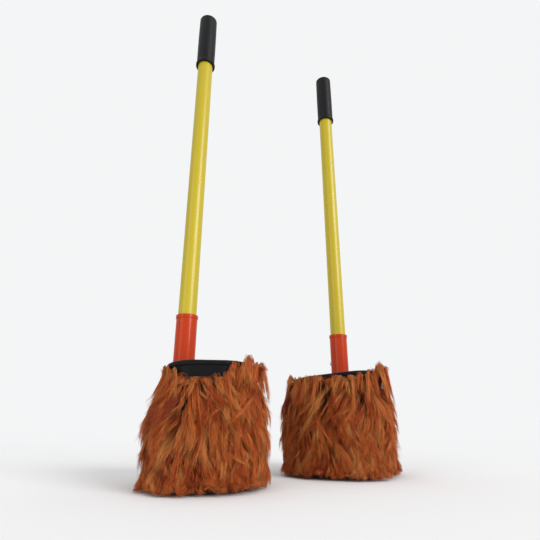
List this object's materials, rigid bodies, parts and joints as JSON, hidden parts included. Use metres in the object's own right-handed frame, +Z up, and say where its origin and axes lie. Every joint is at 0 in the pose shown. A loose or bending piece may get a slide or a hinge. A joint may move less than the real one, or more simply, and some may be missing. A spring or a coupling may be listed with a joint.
{
  "type": "pole stilts",
  "caption": "Pole stilts: a round pole with a handgrip, locked in a socket on a rimmed foot deck over a soft foam foot in a shaggy fur sleeve.",
  "frame": {"origin": "centre of the pair's footprint, on the floor", "axes": "+Z up along the poles; -Y is the way the pair walks, the left stilt's toe turned out a little and the right one's more; +X from the left stilt to the right one as the picture shows them"},
  "size_m": [0.4742, 0.2893, 0.99],
  "materials": {
    "black_rubber": "matte moulded rubber",
    "foam": "closed-cell soft foam",
    "brown_fur": "long-pile reddish-brown faux fur",
    "black_plastic": "satin black moulded plastic",
    "pad_rubber": "ribbed matte rubber",
    "steel": "zinc-plated steel",
    "orange_plastic": "glossy red-orange plastic",
    "grey_plastic": "plain moulded plastic",
    "yellow_plastic": "glossy lemon-yellow plastic",
    "grip_foam": "fine-grained soft black grip",
    "cap_plastic": "satin black plastic"
  },
  "bodies": {
    "right_foot": {"right_sole_pad": "black_rubber", "right_foam_foot": "foam", "right_fur_cover": "brown_fur"},
    "right_stilt": {"right_foot_deck": "black_plastic", "right_deck_pad": "pad_rubber", "right_deck_screws": "steel", "right_pole_socket": "orange_plastic", "right_anchor_plate": "grey_plastic", "right_anchor_screw": "steel", "right_pole": "yellow_plastic", "right_grip": "grip_foam", "right_grip_cap": "cap_plastic", "right_clip_spring": "steel"},
    "right_button": {"right_snap_button": "steel"},
    "left_foot": {"left_sole_pad": "black_rubber", "left_foam_foot": "foam", "left_fur_cover": "brown_fur"},
    "left_stilt": {"left_foot_deck": "black_plastic", "left_deck_pad": "pad_rubber", "left_deck_screws": "steel", "left_pole_socket": "orange_plastic", "left_anchor_plate": "grey_plastic", "left_anchor_screw": "steel", "left_pole": "yellow_plastic", "left_grip": "grip_foam", "left_grip_cap": "cap_plastic", "left_clip_spring": "steel"},
    "left_button": {"left_snap_button": "steel"}
  },
  "joints": [
    {"name": "left_step", "type": "slide", "parent": "right_foot", "child": "left_foot", "axis": [0, 0, 1], "range_m": [0, 0.15]},
    {"name": "right_foam_squash", "type": "slide", "parent": "right_foot", "child": "right_stilt", "axis": [0, 0, -1], "range_m": [0, 0.015], "stiffness_N_per_m": 30000, "deforming": ["right_foam_foot", "right_fur_cover"]},
    {"name": "right_button_press", "type": "slide", "parent": "right_stilt", "child": "right_button", "axis": [0.8192, -0.5736, 0], "range_m": [0, 0.0045], "stiffness_N_per_m": 2500, "deforming": ["right_clip_spring"]},
    {"name": "left_foam_squash", "type": "slide", "parent": "left_foot", "child": "left_stilt", "axis": [0, 0, -1], "range_m": [0, 0.015], "stiffness_N_per_m": 30000, "deforming": ["left_foam_foot", "left_fur_cover"]},
    {"name": "left_button_press", "type": "slide", "parent": "left_stilt", "child": "left_button", "axis": [-0.1045, -0.9945, 0], "range_m": [0, 0.0045], "stiffness_N_per_m": 2500, "deforming": ["left_clip_spring"]}
  ]
}
